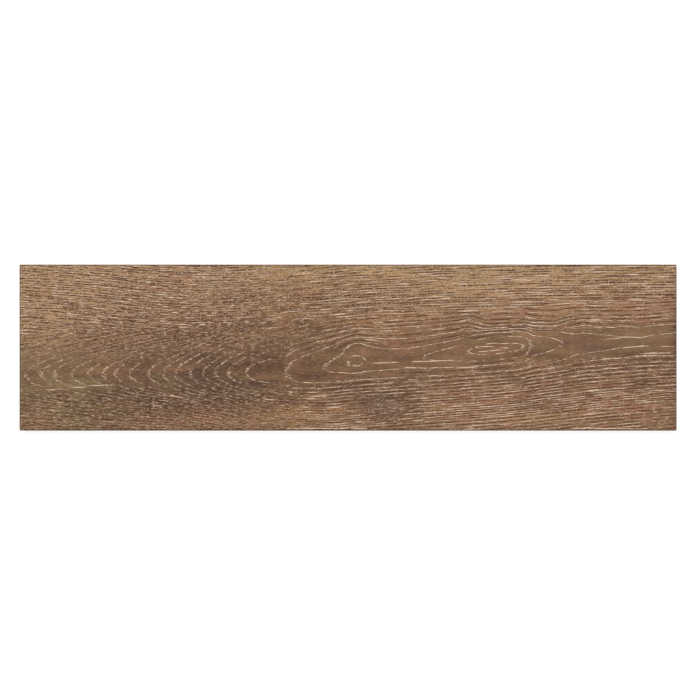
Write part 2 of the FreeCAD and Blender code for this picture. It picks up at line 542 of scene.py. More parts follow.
def log_radius(x, y):
    """Distance of each place on the face from the log's pith with the outer rings drawn in, the
    plain distance, and the place's height off the heart line."""
    heart = flowing(HEART_STATIONS, HEART_HEIGHTS, x)
    trend = np.interp(x, (HEART_STATIONS[0], HEART_STATIONS[-1]),
                      (HEART_HEIGHTS[0], HEART_HEIGHTS[-1]))
    nearness = np.exp(-((y - heart) / 34.0) ** 2)
    off_heart = y - trend - (heart - trend) * nearness
    near_edge = smooth_step(20.0, 45.0, off_heart)
    # Above the first eye the nearest rings stand further out
    lift = 4.3 * np.exp(-((x - 8.0) / 20.0) ** 2) * smooth_step(6.0, 13.0, off_heart)
    lift = lift * (1 - smooth_step(14.0, 26.0, off_heart))
    depth_squared = flowing(PITH_STATIONS, np.square(PITH_DEPTHS), x, softness=3.0)
    calm_depth = flowing(PITH_STATIONS, np.square(PITH_DEPTHS), x, softness=60.0)
    calm = smooth_step(15.0, 45.0, np.abs(off_heart))
    depth_squared = depth_squared + (calm_depth - depth_squared) * calm
    radius = np.sqrt((off_heart - lift) ** 2 + depth_squared)
    # Above the second eye the outer rings are pressed together
    stretch = smooth_step(105.0, 130.0, x) * (1 - smooth_step(184.0, 214.0, x))
    press = 7.0 * stretch * smooth_step(14.6, 21.0, radius) * smooth_step(0.0, 6.0, off_heart)
    radius = radius + press * (1 - near_edge)
    past = np.maximum(radius - FOURTH_RADIUS, 0.0)
    spread = flowing(SPREAD_STATIONS, SPREADS, x, softness=30.0)
    return radius - past + past / spread, radius, off_heart


def ring_count(radius):
    """Number of growth rings from the pith to each radius."""
    last = RING_RADII[-1]
    count = np.interp(radius, RING_RADII, np.arange(len(RING_RADII)))
    return count + np.maximum(radius - last, 0.0) / OUTER_RING_WIDTH


def growth_fields(x, y):
    """Growth rings from the pith at each place, and how fast they climb along X and Y."""
    step = 0.6
    growth = ring_count(log_radius(x, y)[0])
    ahead = ring_count(log_radius(x + step, y)[0])
    behind = ring_count(log_radius(x - step, y)[0])
    above = ring_count(log_radius(x, y + step)[0])
    below = ring_count(log_radius(x, y - step)[0])
    return growth, (ahead - behind) / (2 * step), (above - below) / (2 * step)


def upper_rise(x):
    """Height that the grain near the top edge has climbed from the plank's middle."""
    slopes = flowing(UPPER_STATIONS, UPPER_SLOPES, LINE_PLACES, softness=30.0)
    climb = np.cumsum(slopes) * LINE_STEP
    return np.interp(x, LINE_PLACES, climb - np.interp(0.0, LINE_PLACES, climb))


def grain_slope(x, off_heart, climb_x, climb_y):
    """Slope of the grain: along the rings, level at their tips, and gentle near the top edge."""
    slope = -climb_x * climb_y / (climb_y ** 2 + 0.12 * (climb_x ** 2 + climb_y ** 2) + 1e-4)
    slope = np.clip(slope, -0.5, 0.5)
    upper = smooth_step(24.0, 44.0, off_heart)
    return slope + (flowing(UPPER_STATIONS, UPPER_SLOPES, x, softness=30.0) - slope) * upper


def soft_patch(x, y, along, across, half_length, half_width):
    """One soft patch: 1 at its middle and 0 well outside."""
    return np.exp(-((x - along) / half_length) ** 2 - ((y - across) / half_width) ** 2)


def cloud_fields(x, y):
    """Lightness, redness and gold of the ground at each place."""
    tone = np.interp(y, TONE_STATIONS, TONE_VALUES)
    warmth = np.zeros_like(tone)
    gold = np.zeros_like(tone)
    for *patch, lighter, redder, golder in CLOUDS:
        weight = soft_patch(x, y, *patch)
        tone += lighter * weight
        warmth += redder * weight
        gold += golder * weight
    return tone, warmth, gold


def patches(places, x, y):
    """All the soft patches of a list together."""
    field = np.zeros_like(x)
    for patch in places:
        field += soft_patch(x, y, *patch)
    return field


def figure_fields(x, y):
    """All the figure's smooth fields at each place, by name."""
    radius, off_heart = log_radius(x, y)[1:]
    growth, climb_x, climb_y = growth_fields(x, y)
    climb = np.hypot(climb_x, climb_y)
    tip = climb_x ** 2 / (climb_x ** 2 + climb_y ** 2 + 1e-5)
    away = np.abs(off_heart)
    upper = smooth_step(-2.0, 2.0, off_heart)
    reach = 34.0 - 6.0 * upper
    fall = 0.2 + 0.1 * upper + 0.3 * (1 - upper) * (1 - smooth_step(-120.0, 0.0, x))
    tone, warmth, gold = cloud_fields(x, y)
    speckled = patches(SPECKLED_PATCHES, x, y)
    long_grain = smooth_step(-120.0, 0.0, x) * (1 - 0.8 * np.minimum(speckled, 1))
    past_heart = away - (8.0 - 4.0 * long_grain)
    return {
        "growth": growth,
        "climb_x": climb_x,
        "climb_y": climb_y,
        "ring_pitch": 1 / np.maximum(climb, 0.02),
        "tip": tip,
        "grain_slope": grain_slope(x, off_heart, climb_x, climb_y),
        "ring_across": radius,
        "level_across": y - upper_rise(x),
        "by_rings": 1 - smooth_step(24.0, 48.0, off_heart),
        "figure": 1 - fall * smooth_step(0.4, 1.2, away / reach),
        "clear": patches(CLEAR_PATCHES, x, y),
        "broad": patches(BROAD_TIPS, x, y),
        "open_grain": smooth_step(0.0, 18.0 - 4.0 * long_grain, past_heart),
        "long_grain": long_grain,
        "tone": tone,
        "warmth": warmth,
        "gold": gold,
    }


# Long pores and the painted shadows under limed pores, drawn on the plate

def plate_shape(sizes):
    """Left and lower ends of the plate, and its rows and columns."""
    left = -sizes.length / MM / 2 - PLATE_MARGIN
    low = -sizes.width / MM / 2 - PLATE_MARGIN
    columns = int(-2 * left / PLATE_STEP_X) + 1
    rows = int(-2 * low / PLATE_STEP_Y) + 1
    return left, low, rows, columns


def pore_profile(across, width):
    """A pore's strength at these places across it, 1 along its middle."""
    return np.exp(-((2 * across / width) ** 2) * 0.9)


def draw_pores(plate, left, low, pores):
    """Draws pores as soft strokes, each the stronger of itself and what is there."""
    x, y, slope, length, width, strength = pores
    rows, columns = plate.shape
    reach = int(length.max() / 2 / PLATE_STEP_X) + 1
    reach_across = int(width.max() / PLATE_STEP_Y) + 2
    first = np.rint((x - left) / PLATE_STEP_X).astype(int)
    for ahead in range(-reach, reach + 1):
        column = first + ahead
        along = left + column * PLATE_STEP_X - x
        taper = np.clip(1 - np.abs(2 * along / length) ** 3, 0.0, 1.0)
        middle = y + slope * along
        nearest = np.rint((middle - low) / PLATE_STEP_Y).astype(int)
        for aside in range(-reach_across, reach_across + 1):
            row = nearest + aside
            across = low + row * PLATE_STEP_Y - middle
            value = strength * taper * pore_profile(across, width)
            kept = (value > 0.01) & (column >= 0) & (column < columns) & (row >= 0) & (row < rows)
            np.maximum.at(plate, (row[kept], column[kept]), value[kept])


def scattered_pores(chance, sizes, spacing, lengths, width):
    """Pores near the knots of an uneven grid over the face, each along the grain."""
    half_length = sizes.length / MM / 2
    half_width = sizes.width / MM / 2
    x, y = np.meshgrid(np.arange(-half_length, half_length, spacing[0]),
                       np.arange(-half_width, half_width, spacing[1]))
    shift = np.arange(x.shape[0]) % 2 * spacing[0] / 2
    x = (x + shift[:, None]).ravel()
    x = x + chance.uniform(-0.45, 0.45, x.size) * spacing[0]
    y = y.ravel() + chance.uniform(-0.35, 0.35, y.size) * spacing[1]
    length = chance.uniform(*lengths, x.size)
    strength = chance.uniform(0.45, 1.0, x.size)
    slope = figure_fields(x, y)["grain_slope"] + chance.normal(0.0, 0.012, x.size)
    return np.array([x, y, slope, length, np.full(x.size, width), strength])


def draw_single_pores(plate, left, low, pores, width, strength):
    """Draws pores given by the points that they pass through."""
    rows, columns = plate.shape
    x = left + np.arange(columns) * PLATE_STEP_X
    y = low + np.arange(rows) * PLATE_STEP_Y
    for points in pores:
        stations, heights = np.array(points).T
        taper = np.clip(np.minimum(x - stations[0], stations[-1] - x) / 4, 0.0, 1.0)
        across = y[:, None] - np.interp(x, stations, heights)[None, :]
        np.maximum(plate, strength * taper * pore_profile(across, width), out=plate)


def thinned(pores, chance, weight):
    """The pores that a weight from 0 to 1 at each of them keeps."""
    return pores[:, chance.random(pores.shape[1]) < weight]


def shadow_copies_below(pores, drop, share):
    """The same pores a little lower and weaker, drawn dark as painted shadows under the limed
    pores.
    """
    moved = pores.copy()
    moved[1] -= drop
    moved[5] *= share
    return moved


def pore_plates(sizes):
    """Plates with the limed pores, and with the open pores and the painted shadows under limed
    pores, that are long enough for the mesh.
    """
    chance = np.random.default_rng(17)
    left, low, rows, columns = plate_shape(sizes)
    limed = np.zeros((rows, columns))
    dark = np.zeros((rows, columns))
    pores = scattered_pores(chance, sizes, (17.0, 2.6), (9.0, 26.0), 0.85)
    fields = figure_fields(pores[0], pores[1])
    weight = (0.04 + 0.12 * fields["long_grain"]) * fields["open_grain"]
    pores = thinned(pores, chance, weight)
    draw_pores(limed, left, low, pores)
    # Painted shadows: dark copies of most of these limed pores, 1.1 mm lower, on the side away
    # from the lamp
    draw_pores(dark, left, low, shadow_copies_below(thinned(pores, chance, 0.7), 1.1, 0.8))
    pores = scattered_pores(chance, sizes, (21.0, 4.0), (8.0, 24.0), 0.85)
    fields = figure_fields(pores[0], pores[1])
    draw_pores(dark, left, low, thinned(pores, chance, 0.35 * fields["open_grain"]))
    draw_single_pores(limed, left, low, LIMED_PORES, 0.95, 0.85)
    draw_single_pores(dark, left, low, OPEN_PORES, 1.1, 1.2)
    return limed, dark


def brushed_plate(sizes):
    """Plate of fine uneven streaks along the grain, from -1 to 1."""
    chance = np.random.default_rng(29)
    rows, columns = plate_shape(sizes)[2:]
    streaks = chance.normal(size=(rows, columns))
    for axis, span in ((1, 28.0 / PLATE_STEP_X), (0, 1.8 / PLATE_STEP_Y)):
        window = np.hanning(int(span) + 2)
        streaks = np.apply_along_axis(np.convolve, axis, streaks, window / window.sum(), "same")
    return np.clip(streaks / (3 * streaks.std()), -1.0, 1.0)


def read_plate(plate, sizes, x, y):
    """The plate's values at each place, blended between its grid points."""
    left, low, rows, columns = plate_shape(sizes)
    along = np.clip((x - left) / PLATE_STEP_X, 0, columns - 1.001)
    across = np.clip((y - low) / PLATE_STEP_Y, 0, rows - 1.001)
    column = along.astype(int)
    row = across.astype(int)
    part_x = along - column
    part_y = across - row
    lower = plate[row, column] * (1 - part_x) + plate[row, column + 1] * part_x
    upper = plate[row + 1, column] * (1 - part_x) + plate[row + 1, column + 1] * part_x
    return lower * (1 - part_y) + upper * part_y


def read_places(mesh):
    """The mesh's vertex places in metres, one row each."""
    places = np.empty(len(mesh.vertices) * 3)
    mesh.vertices.foreach_get("co", places)
    return places.reshape(-1, 3)


def press_relief(mesh, sizes, places, fields):
    """Presses the long pores with the painted shadows drawn under limed pores, the ring bands and
    the brushed grain into the face.
    """
    x = places[:, 0] / MM
    y = places[:, 1] / MM
    off_ring = np.abs(fields["growth"] - np.rint(fields["growth"])) * fields["ring_pitch"]
    band = smooth_step(1.3, 0.5, off_ring / (0.55 + 1.6 * fields["tip"])) * fields["figure"]
    streaks = read_plate(brushed_plate(sizes), sizes, x, y)
    groove = np.maximum(fields["limed_groove"] * 0.6, fields["open_groove_and_shadow"] * 0.9)
    # Only the pores and their painted shadows can reach the full depth
    depth = np.clip(0.25 + 0.25 * streaks + 0.25 * band + 0.5 * groove, 0.0, 1.0)
    half_length = sizes.length / MM / 2
    half_width = sizes.width / MM / 2
    inside = np.minimum(half_length - np.abs(x), half_width - np.abs(y))
    on_face = places[:, 2] > sizes.thickness - TINY
    share = depth * smooth_step(1.2, 6.0, inside) * on_face
    places[:, 2] -= sizes.relief_depth * share
    mesh.vertices.foreach_set("co", places.ravel())
    mesh.update()


def add_field(mesh, name, values):
    """Stores one number for each vertex under this name."""
    field = mesh.attributes.new(name, "FLOAT", "POINT")
    field.data.foreach_set("value", values.astype(np.float32))


def draw_figure(mesh, sizes):
    """Stores the figure's fields on the mesh and presses its relief into the face."""
    places = read_places(mesh)
    x = places[:, 0] / MM
    y = places[:, 1] / MM
    fields = figure_fields(x, y)
    limed, dark = pore_plates(sizes)
    fields["limed_groove"] = read_plate(limed, sizes, x, y)
    fields["open_groove_and_shadow"] = read_plate(dark, sizes, x, y)
    # How far down the rounded edge each place lies; the glaze paints shade there
    drop = (sizes.thickness - places[:, 2]) / sizes.edge_radius
    fields["rim"] = np.clip(drop, 0.0, 1.0)
    for name, values in fields.items():
        add_field(mesh, name, values)
    press_relief(mesh, sizes, places, fields)


# Materials

class Recipe:
    """Short ways to add nodes to one material."""

    def __init__(self, name):
        self.material = bpy.data.materials.new(name)
        self.material.use_nodes = True
        self.tree = self.material.node_tree
        self.shader = self.tree.nodes["Principled BSDF"]

    def feed(self, socket, value):
        """Links the socket to another one, or sets its value."""
        if isinstance(value, bpy.types.NodeSocket):
            self.tree.links.new(value, socket)
        else:
            socket.default_value = value

    def node(self, kind, inputs, **settings):
        """A new node with these inputs fed."""
        made = self.tree.nodes.new(kind)
        for name, value in settings.items():
            setattr(made, name, value)
        for name, value in inputs.items():
            self.feed(made.inputs[name], value)
        return made

    def math(self, operation, *values, clamp=False):
        """Result of one operation on up to three values."""
        made = self.tree.nodes.new("ShaderNodeMath")
        made.operation = operation
        made.use_clamp = clamp
        for socket, value in zip(made.inputs, values):
            self.feed(socket, value)
        return made.outputs[0]

    def vector(self, operation, first, second):
        """Result of one operation on two vectors."""
        made = self.tree.nodes.new("ShaderNodeVectorMath")
        made.operation = operation
        self.feed(made.inputs[0], first)
        self.feed(made.inputs[1], second)
        return made.outputs[0]

    def times(self, product, *factors):
        """Product of all the values."""
        for factor in factors:
            product = self.math("MULTIPLY", product, factor)
        return product

    def greater(self, first, second):
        """The greater of two values."""
        return self.math("MAXIMUM", first, second)

    def ramp(self, share, at_none, at_full):
        """A value that goes evenly from one number to the other as the share grows to 1."""
        return self.math("MULTIPLY_ADD", share, at_full - at_none, at_none)

    def fade(self, value, low, high, to_low=0.0, to_high=1.0):
        """A value that goes smoothly from one number to the other between low and high."""
        inputs = {"Value": value, "From Min": low, "From Max": high,
                  "To Min": to_low, "To Max": to_high}
        made = self.node("ShaderNodeMapRange", inputs, interpolation_type="SMOOTHSTEP")
        return made.outputs["Result"]

    def blend(self, share, first, second):
        """The first colour where the share is 0 and the second where it is 1."""
        made = self.tree.nodes.new("ShaderNodeMix")
        made.data_type = "RGBA"
        self.feed(made.inputs[0], share)
        for index, colour in ((6, first), (7, second)):
            if not isinstance(colour, bpy.types.NodeSocket):
                colour = (*colour, 1.0)
            self.feed(made.inputs[index], colour)
        return made.outputs[2]

    def bump(self, height, depth, strength):
        """Bumps the surface by this height."""
        inputs = {"Height": height, "Distance": depth, "Strength": strength}
        made = self.node("ShaderNodeBump", inputs)
        self.feed(self.shader.inputs["Normal"], made.outputs["Normal"])

    def field(self, name):
        """A number that the mesh carries."""
        return self.node("ShaderNodeAttribute", {}, attribute_name=name).outputs["Fac"]

    def place(self):
        """Object coordinates in millimetres."""
        coordinates = self.tree.nodes.new("ShaderNodeTexCoord").outputs["Object"]
        return self.vector("MULTIPLY", coordinates, (1 / MM, 1 / MM, 1 / MM))

    def part(self, place, axis):
        """One coordinate of a place."""
        return self.node("ShaderNodeSeparateXYZ", {"Vector": place}).outputs[axis]

    def grain_noise(self, place, along, across, seed=0.0, detail=2.0):
        """Noise about a middle of 0 whose marks are about this long and wide, in millimetres."""
        moved = self.vector("ADD", place, (seed * 71.0, seed * 37.0, 0.0))
        scaled = self.vector("MULTIPLY", moved, (1 / along, 1 / across, 1 / across))
        inputs = {"Vector": scaled, "Scale": 1.0, "Detail": detail, "Roughness": 0.5}
        noise = self.node("ShaderNodeTexNoise", inputs).outputs["Fac"]
        return self.math("SUBTRACT", noise, 0.5)

    def grain_streaks(self, along, across, length, width, seed):
        """Noise of streaks that follow the grain, from its places along and across the grain."""
        place = self.node("ShaderNodeCombineXYZ", {"X": along, "Y": across}).outputs["Vector"]
        return self.grain_noise(place, length, width, seed=seed, detail=1.0)


class Dashes:
    """One layer of short pores, at most one in each cell of the spacing, in millimetres."""

    def __init__(self, recipe, place, spacing, seed):
        self.recipe = recipe
        moved = recipe.vector("ADD", place, (seed * 53.0, seed * 29.0, 0.0))
        cells = recipe.vector("DIVIDE", moved, (*spacing, 1.0))
        cell = recipe.node("ShaderNodeTexVoronoi", {"Vector": cells, "Scale": 1.0},
                           voronoi_dimensions="2D")
        offset = recipe.vector("SUBTRACT", cells, cell.outputs["Position"])
        offset = recipe.vector("MULTIPLY", offset, (*spacing, 0.0))
        chances = recipe.node("ShaderNodeSeparateColor", {"Color": cell.outputs["Color"]})
        self.along = recipe.part(offset, "X")
        self.across = recipe.part(offset, "Y")
        self.chance = chances.outputs["Green"]
        self.strength = recipe.fade(chances.outputs["Blue"], 0.0, 1.0, 0.25, 1.0)
        self.share = recipe.fade(chances.outputs["Red"], 0.0, 1.0, 0.5, 1.3)

    def at_middle(self, value, climb_x, climb_y):
        """A field's value at the dash's middle, from its value and climb at this place."""
        recipe = self.recipe
        back = recipe.math("MULTIPLY_ADD", self.across, climb_y, recipe.times(self.along, climb_x))
        return recipe.math("SUBTRACT", value, back)

    def draw(self, slope, length, widths, density):
        """The dashes whose chance is under the density, once for each of the widths."""
        recipe = self.recipe
        across = recipe.math("MULTIPLY_ADD", self.along, recipe.times(slope, -1.0), self.across)
        half = recipe.times(self.share, length / 2)
        end = recipe.math("POWER", recipe.math("DIVIDE", self.along, half), 2.0)
        shown = recipe.times(recipe.math("LESS_THAN", self.chance, density), self.strength)
        drawn = []
        for width in widths:
            side = recipe.math("POWER", recipe.math("DIVIDE", across, width / 2), 2.0)
            shape = recipe.fade(recipe.math("ADD", end, side), 1.2, 0.3)
            drawn.append(recipe.times(shape, shown))
        return drawn


class Rows:
    """Broken lines along rows, in millimetres. A row lies wherever the count is whole."""

    def __init__(self, recipe, along, count, pitch, loose, length, seed):
        self.recipe = recipe
        row = recipe.math("ROUND", count)
        off_row = recipe.times(recipe.math("SUBTRACT", count, row), pitch)
        key = recipe.math("ADD", row, seed * 31.0)
        chance = recipe.node("ShaderNodeTexWhiteNoise", {"W": key}, noise_dimensions="1D")
        shift = recipe.times(recipe.math("SUBTRACT", chance.outputs["Value"], 0.5), loose)
        self.off_row = recipe.math("ABSOLUTE", recipe.math("SUBTRACT", off_row, shift))
        # Each row reads its own stretch of the noise
        start = recipe.math("MULTIPLY_ADD", key, 37.7, recipe.math("DIVIDE", along, length))
        stretch = {"X": start, "Y": recipe.times(key, 12.9)}
        place = recipe.node("ShaderNodeCombineXYZ", stretch).outputs["Vector"]
        self.level = recipe.grain_noise(place, 1.0, 1.0, detail=1.0)

    def draw(self, widths, density):
        """Lines of each width, whole at a density of 1 and gone at 0."""
        recipe = self.recipe
        start = recipe.ramp(density, 0.18, -0.18)
        shown = recipe.fade(recipe.math("SUBTRACT", self.level, start), 0.0, 0.2)
        shown = recipe.times(shown, recipe.fade(density, 0.0, 0.15))
        drawn = []
        for width in widths:
            line = recipe.fade(self.off_row, 0.62 * width, 0.2 * width)
            drawn.append(recipe.times(line, shown))
        return drawn


class Decor:
    """The printed wood figure. Its layers add to the cover of limed and of dark pores."""

    def __init__(self, recipe):
        self.recipe = recipe
        self.place = recipe.place()
        self.along = recipe.part(self.place, "X")
        self.climb_x = recipe.field("climb_x")
        self.climb_y = recipe.field("climb_y")
        self.ring_pitch = recipe.field("ring_pitch")
        self.tip = recipe.field("tip")
        self.clear = recipe.field("clear")
        self.open_grain = recipe.field("open_grain")
        self.long_grain = recipe.field("long_grain")
        self.short_grain = recipe.math("SUBTRACT", 1.0, self.long_grain)
        self.level_across = recipe.field("level_across")
        self.by_rings = recipe.field("by_rings")
        self.in_rings = recipe.math("GREATER_THAN", self.by_rings, 0.5)
        uneven = recipe.grain_noise(self.place, 22.0, 5.0, seed=9.0)
        uneven = recipe.fade(uneven, -0.22, 0.05, 0.7, 1.0)
        self.crowd = recipe.times(recipe.field("figure"), uneven)
        self.shade = recipe.ramp(self.open_grain, 0.4, 0.75)
        self.limed = 0.0
        self.dark = 0.0

    def ring_or_level(self, ring_value, level_value):
        """The first value where the grain follows the rings, else the second."""
        step = self.recipe.math("SUBTRACT", ring_value, level_value)
        return self.recipe.math("MULTIPLY_ADD", self.in_rings, step, level_value)

    def lime_over_shade(self, drawn):
        """Adds marks drawn thin and wide: limed pores over a shade that is a little wider."""
        thin, wide = drawn
        self.limed = self.recipe.greater(self.limed, thin)
        self.dark = self.recipe.greater(self.dark, self.recipe.times(wide, self.shade))

    def wandering_growth(self):
        """The ring count, which wanders about its even course, less so on the right."""
        recipe = self.recipe
        wander = recipe.grain_noise(self.place, 14.0, 3.0, seed=1.0)
        wander = recipe.times(wander, recipe.ramp(self.short_grain, 0.2, 0.45),
                              recipe.fade(self.ring_pitch, 9.0, 4.0, 0.3, 1.0))
        rough = recipe.grain_noise(self.place, 6.0, 1.6, seed=15.0, detail=1.0)
        rough = recipe.times(rough, recipe.ramp(self.long_grain, 1.1, 0.7))
        rough = recipe.math("DIVIDE", rough, self.ring_pitch)
        return recipe.math("ADD", recipe.math("ADD", wander, rough), recipe.field("growth"))

    def row_wear(self):
        """How much of the limed rows is left. They keep most on the right away from the heart,
        and gaps break them at the eyes and near the heart."""
        recipe = self.recipe
        worn = recipe.grain_noise(self.place, 4.0, 1.4, seed=12.0)
        worn = recipe.fade(worn, -0.12, 0.15, 0.15, 1.05)
        least = recipe.times(recipe.ramp(self.clear, 0.6, 0.25), self.long_grain,
                             recipe.ramp(self.open_grain, 0.6, 1.0))
        gaps = recipe.grain_noise(self.place, 3.4, 1.3, seed=17.0, detail=0.0)
        broken = recipe.greater(self.clear, recipe.ramp(self.open_grain, 0.7, 0.0))
        gaps = recipe.times(recipe.fade(gaps, 0.02, -0.1, 0.0, 0.75), broken)
        worn = recipe.times(recipe.greater(worn, least), recipe.math("SUBTRACT", 1.0, gaps))
        return self.ring_or_level(worn, recipe.ramp(worn, 0.5, 1.0))

    def draw_rows(self, growth):
        """Limed rows along the rings, and level rows near the top edge, with dark rows between
        them. Their pores are short on the left and long on the right."""
        recipe = self.recipe
        sway = recipe.grain_noise(self.place, 40.0, 3.2, seed=13.0)
        level = recipe.math("MULTIPLY_ADD", sway, 3.0, self.level_across)
        count = self.ring_or_level(growth, recipe.math("DIVIDE", level, LEVEL_PITCH))
        between = recipe.math("ADD", count, 0.5)
        pitch = self.ring_or_level(self.ring_pitch, LEVEL_PITCH)
        loose = self.ring_or_level(0.6, 0.9)
        faint = recipe.grain_noise(self.place, 11.0, 4.0, seed=14.0)
        faint = recipe.fade(faint, -0.16, 0.12, 0.1, 1.0)
        whole = recipe.math("MULTIPLY_ADD", recipe.times(self.clear, faint), 0.7, self.crowd)
        flanks = recipe.greater(recipe.fade(self.tip, 0.75, 0.25), self.clear)
        for length, weight, seed in ((self.ring_or_level(4.6, 8.0), self.short_grain, 1.0),
                                     (17.0, self.long_grain, 2.0)):
            rows = Rows(recipe, self.along, count, pitch, loose, length, seed)
            self.lime_over_shade(rows.draw((0.8, 1.9), recipe.times(whole, flanks, weight)))
            length = recipe.times(length, 1.3)
            rows = Rows(recipe, self.along, between, pitch, loose, length, seed + 10.0)
            drawn = rows.draw((1.15,), recipe.times(self.open_grain, weight))
            self.dark = recipe.greater(self.dark, drawn[0])
        above_heart = recipe.fade(self.climb_y, -0.05, 0.05)
        fainter = recipe.times(above_heart, self.open_grain, self.short_grain)
        strength = recipe.ramp(self.long_grain, 0.62, 1.06)
        strength = recipe.math("MULTIPLY_ADD", fainter, -0.18, strength)
        strength = self.ring_or_level(strength, 1.0)
        self.limed = recipe.times(self.limed, strength, self.row_wear())

    def draw_tips(self, growth):
        """Short pores that crowd about the rings' tips."""
        recipe = self.recipe
        slope = recipe.field("grain_slope")
        reach = recipe.times(recipe.ramp(self.tip, 0.45, 1.95),
                             recipe.ramp(recipe.field("broad"), 1.0, 1.5))
        tips = recipe.fade(self.tip, 0.02, 0.35, 0.1, 1.0)
        for spacing, length, seed in (((4.2, 1.4), 3.6, 1.0), ((3.2, 1.3), 2.6, 2.0)):
            dashes = Dashes(recipe, self.place, spacing, seed)
            middle = dashes.at_middle(growth, self.climb_x, self.climb_y)
            off_ring = recipe.times(recipe.math("PINGPONG", middle, 0.5), self.ring_pitch)
            off_band = recipe.math("DIVIDE", off_ring, reach)
            density = recipe.times(recipe.fade(off_band, 1.1, 0.7), self.crowd, tips)
            self.lime_over_shade(dashes.draw(slope, length, (0.55, 1.6), density))

    def draw_streaks(self):
        """Fine limed and dark streaks, and long ones on the right away from the heart. Returns
        their noise."""
        recipe = self.recipe
        across = self.ring_or_level(recipe.field("ring_across"), self.level_across)
        short_streak = recipe.grain_streaks(self.along, self.level_across, 5.0, 0.72, seed=4.0)
        long_streak = recipe.grain_streaks(self.along, across, 14.0, 0.8, seed=8.0)
        speckle = recipe.grain_noise(self.place, 1.7, 1.0, seed=16.0, detail=0.0)
        short_share = recipe.math("MULTIPLY_ADD", self.short_grain, 0.5,
                                  recipe.ramp(self.open_grain, 0.9, 0.5))
        long_share = recipe.times(recipe.ramp(self.long_grain, 0.4, 0.6), self.open_grain)
        speckle_share = recipe.times(recipe.ramp(self.by_rings, 0.75, 0.4), self.open_grain)
        streak = recipe.times(short_streak, short_share)
        streak = recipe.math("MULTIPLY_ADD", long_streak, long_share, streak)
        streak = recipe.math("MULTIPLY_ADD", speckle, speckle_share, streak)
        strength = recipe.ramp(self.open_grain, 0.17, 0.47)
        pale = recipe.times(recipe.fade(streak, 0.02, 0.24), strength)
        deep = recipe.times(recipe.fade(streak, -0.02, -0.24), strength)
        self.limed = recipe.greater(self.limed, pale)
        self.dark = recipe.greater(self.dark, deep)
        return streak

    def draw_grooves(self):
        """The long pores and the painted shadows under limed pores that the mesh carries, with
        ragged edges. Returns the open pores with the painted shadows.
        """
        recipe = self.recipe
        ragged = recipe.grain_noise(self.place, 3.0, 0.8, seed=10.0)
        ragged = recipe.fade(ragged, -0.22, 0.02, 0.35, 1.0)
        covers = []
        for name in ("limed_groove", "open_groove_and_shadow"):
            groove = recipe.times(recipe.field(name), ragged)
            covers.append(recipe.fade(groove, 0.25, 0.75))
        self.limed = recipe.math("MAXIMUM", self.limed, covers[0], clamp=True)
        return covers[1]

    def ground(self, colours):
        """Colour of the wood between the pores, in soft clouds, with painted light and shade along
        the face's edges.
        """
        recipe = self.recipe
        cloud = recipe.grain_noise(self.place, 36.0, 9.0, seed=3.0, detail=1.0)
        tone = recipe.math("MULTIPLY_ADD", cloud, 0.6, recipe.field("tone"), clamp=True)
        wood = recipe.blend(tone, colours.dark_wood, colours.light_wood)
        tint = recipe.grain_noise(self.place, 20.0, 7.0, seed=5.0, detail=0.0)
        warmth = recipe.math("MULTIPLY_ADD", tint, 1.4, recipe.field("warmth"))
        tint = recipe.grain_noise(self.place, 30.0, 8.0, seed=11.0, detail=0.0)
        gold = recipe.math("MULTIPLY_ADD", tint, 0.9, recipe.field("gold"))
        for value, most, above, below in (
                (warmth, 0.5, colours.red_wood, colours.olive_wood),
                (gold, 0.55, colours.golden_wood, colours.mauve_wood)):
            wood = recipe.blend(recipe.fade(value, 0.0, 1.0, 0.0, most), wood, above)
            wood = recipe.blend(recipe.fade(value, 0.0, -1.0, 0.0, most), wood, below)
        return wood


def glaze_material(colours):
    """Satin glaze with the printed wood decor, and painted shade in a dark line round its rounded
    edge.
    """
    recipe = Recipe("printed_wood_glaze")
    decor = Decor(recipe)
    growth = decor.wandering_growth()
    decor.draw_rows(growth)
    decor.draw_tips(growth)
    streak = decor.draw_streaks()
    deep = decor.draw_grooves()
    rim = recipe.field("rim")
    wood = decor.ground(colours)
    wood = recipe.blend(decor.dark, wood, colours.open_pore_and_shade)
    wood = recipe.blend(decor.limed, wood, colours.limed_pore)
    # Open pores, and the painted shadows under limed pores, in the dark pores' colour
    wood = recipe.blend(recipe.times(deep, 0.7), wood, colours.open_pore_and_shade)
    # Painted shade: the rounded edge darkens towards the dark pores' colour
    wood = recipe.blend(recipe.fade(rim, 0.0, 0.05, 0.0, 0.8), wood, colours.open_pore_and_shade)
    inputs = recipe.shader.inputs
    recipe.feed(inputs["Base Color"], wood)
    recipe.feed(inputs["Roughness"], recipe.ramp(decor.limed, 0.5, 0.62))
    # A shiny rim would mirror the white surround as a pale outline
    recipe.feed(inputs["Specular IOR Level"], recipe.fade(rim, 0.01, 0.2, 0.3, 0.0))
    sunk = recipe.greater(decor.limed, recipe.greater(decor.dark, deep))
    height = recipe.math("MULTIPLY_ADD", streak, 0.6, recipe.times(sunk, -1.0))
    recipe.bump(height, 0.07 * MM, 0.6)
    return recipe.material


